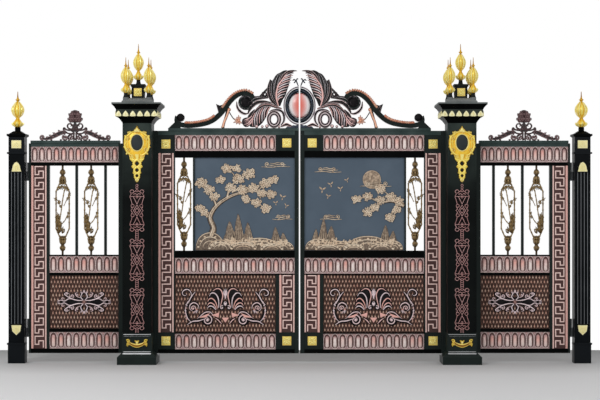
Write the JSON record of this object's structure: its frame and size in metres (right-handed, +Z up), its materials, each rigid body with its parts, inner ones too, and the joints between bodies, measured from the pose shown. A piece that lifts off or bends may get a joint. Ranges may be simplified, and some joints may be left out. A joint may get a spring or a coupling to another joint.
{
  "type": "double driveway gate with side gates and posts",
  "caption": "Ornate panelled double driveway gate between capped posts, with a hinged side gate and slim end post on each side; every leaf swings inward.",
  "frame": {"origin": "middle of the left gate post's foot, at ground level", "axes": "+X along the gate to the right as seen from the road, +Y from the road into the yard, +Z up"},
  "size_m": [6.108, 0.506, 3.334],
  "materials": {
    "frame_black": "semi-gloss green-black enamel",
    "crown_grey": "satin grey-green enamel",
    "gilt": "bright gilt",
    "copper_pink": "rubbed copper over dark brown",
    "lattice_brown": "red-brown with rubbed tan studs",
    "ornament_dark": "black with rubbed silver-pink edges",
    "slate_panel": "satin slate blue",
    "bronze": "antique bronze",
    "copper_silver": "black with rubbed copper and silver edges",
    "orb_red": "gloss salmon red in a dark ring",
    "hinge_steel": "dull steel"
  },
  "bodies": {
    "posts": {"cap_petals": "gilt", "end_post_caps": "frame_black", "end_post_shafts": "frame_black", "gate_post_caps": "frame_black", "gate_post_crowns": "crown_grey", "gate_post_plinths": "frame_black", "gate_post_shafts": "frame_black", "gate_post_stops": "frame_black", "hinge_pins": "hinge_steel", "post_finials": "gilt", "post_gilding": "gilt", "post_trellises": "copper_pink"},
    "left_leaf": {"left_leaf_baluster": "bronze", "left_leaf_blocks": "frame_black", "left_leaf_crest_foliage": "copper_silver", "left_leaf_crest_orb": "orb_red", "left_leaf_crest_scroll": "frame_black", "left_leaf_key_borders": "copper_pink", "left_leaf_knuckles": "hinge_steel", "left_leaf_lattice": "lattice_brown", "left_leaf_ornaments": "ornament_dark", "left_leaf_petal_bands": "copper_pink", "left_leaf_rails": "frame_black", "left_leaf_relief": "slate_panel", "left_leaf_rosettes": "gilt", "left_leaf_stiles": "frame_black"},
    "right_leaf": {"right_leaf_baluster": "bronze", "right_leaf_blocks": "frame_black", "right_leaf_crest_foliage": "copper_silver", "right_leaf_crest_orb": "orb_red", "right_leaf_crest_scroll": "frame_black", "right_leaf_key_borders": "copper_pink", "right_leaf_knuckles": "hinge_steel", "right_leaf_lattice": "lattice_brown", "right_leaf_ornaments": "ornament_dark", "right_leaf_petal_bands": "copper_pink", "right_leaf_rails": "frame_black", "right_leaf_relief": "slate_panel", "right_leaf_rosettes": "gilt", "right_leaf_stiles": "frame_black"},
    "left_side_gate": {"left_side_balusters": "bronze", "left_side_crest": "ornament_dark", "left_side_key_border": "copper_pink", "left_side_knuckles": "hinge_steel", "left_side_lattice": "lattice_brown", "left_side_ornaments": "ornament_dark", "left_side_petal_bands": "copper_pink", "left_side_rails": "frame_black", "left_side_stiles": "frame_black"},
    "right_side_gate": {"right_side_balusters": "bronze", "right_side_crest": "ornament_dark", "right_side_key_border": "copper_pink", "right_side_knuckles": "hinge_steel", "right_side_lattice": "lattice_brown", "right_side_ornaments": "ornament_dark", "right_side_petal_bands": "copper_pink", "right_side_rails": "frame_black", "right_side_stiles": "frame_black"}
  },
  "joints": [
    {"name": "left_leaf_hinge", "type": "hinge", "parent": "posts", "child": "left_leaf", "pos_m": [0.165, 0.1255, 0], "axis": [0, 0, 1], "range_deg": [0, 90]},
    {"name": "right_leaf_hinge", "type": "hinge", "parent": "posts", "child": "right_leaf", "pos_m": [3.199, 0.1255, 0], "axis": [0, 0, -1], "range_deg": [0, 90]},
    {"name": "left_side_gate_hinge", "type": "hinge", "parent": "posts", "child": "left_side_gate", "pos_m": [-1.175, 0.1255, 0], "axis": [0, 0, 1], "range_deg": [0, 90]},
    {"name": "right_side_gate_hinge", "type": "hinge", "parent": "posts", "child": "right_side_gate", "pos_m": [4.539, 0.1255, 0], "axis": [0, 0, -1], "range_deg": [0, 90]}
  ]
}
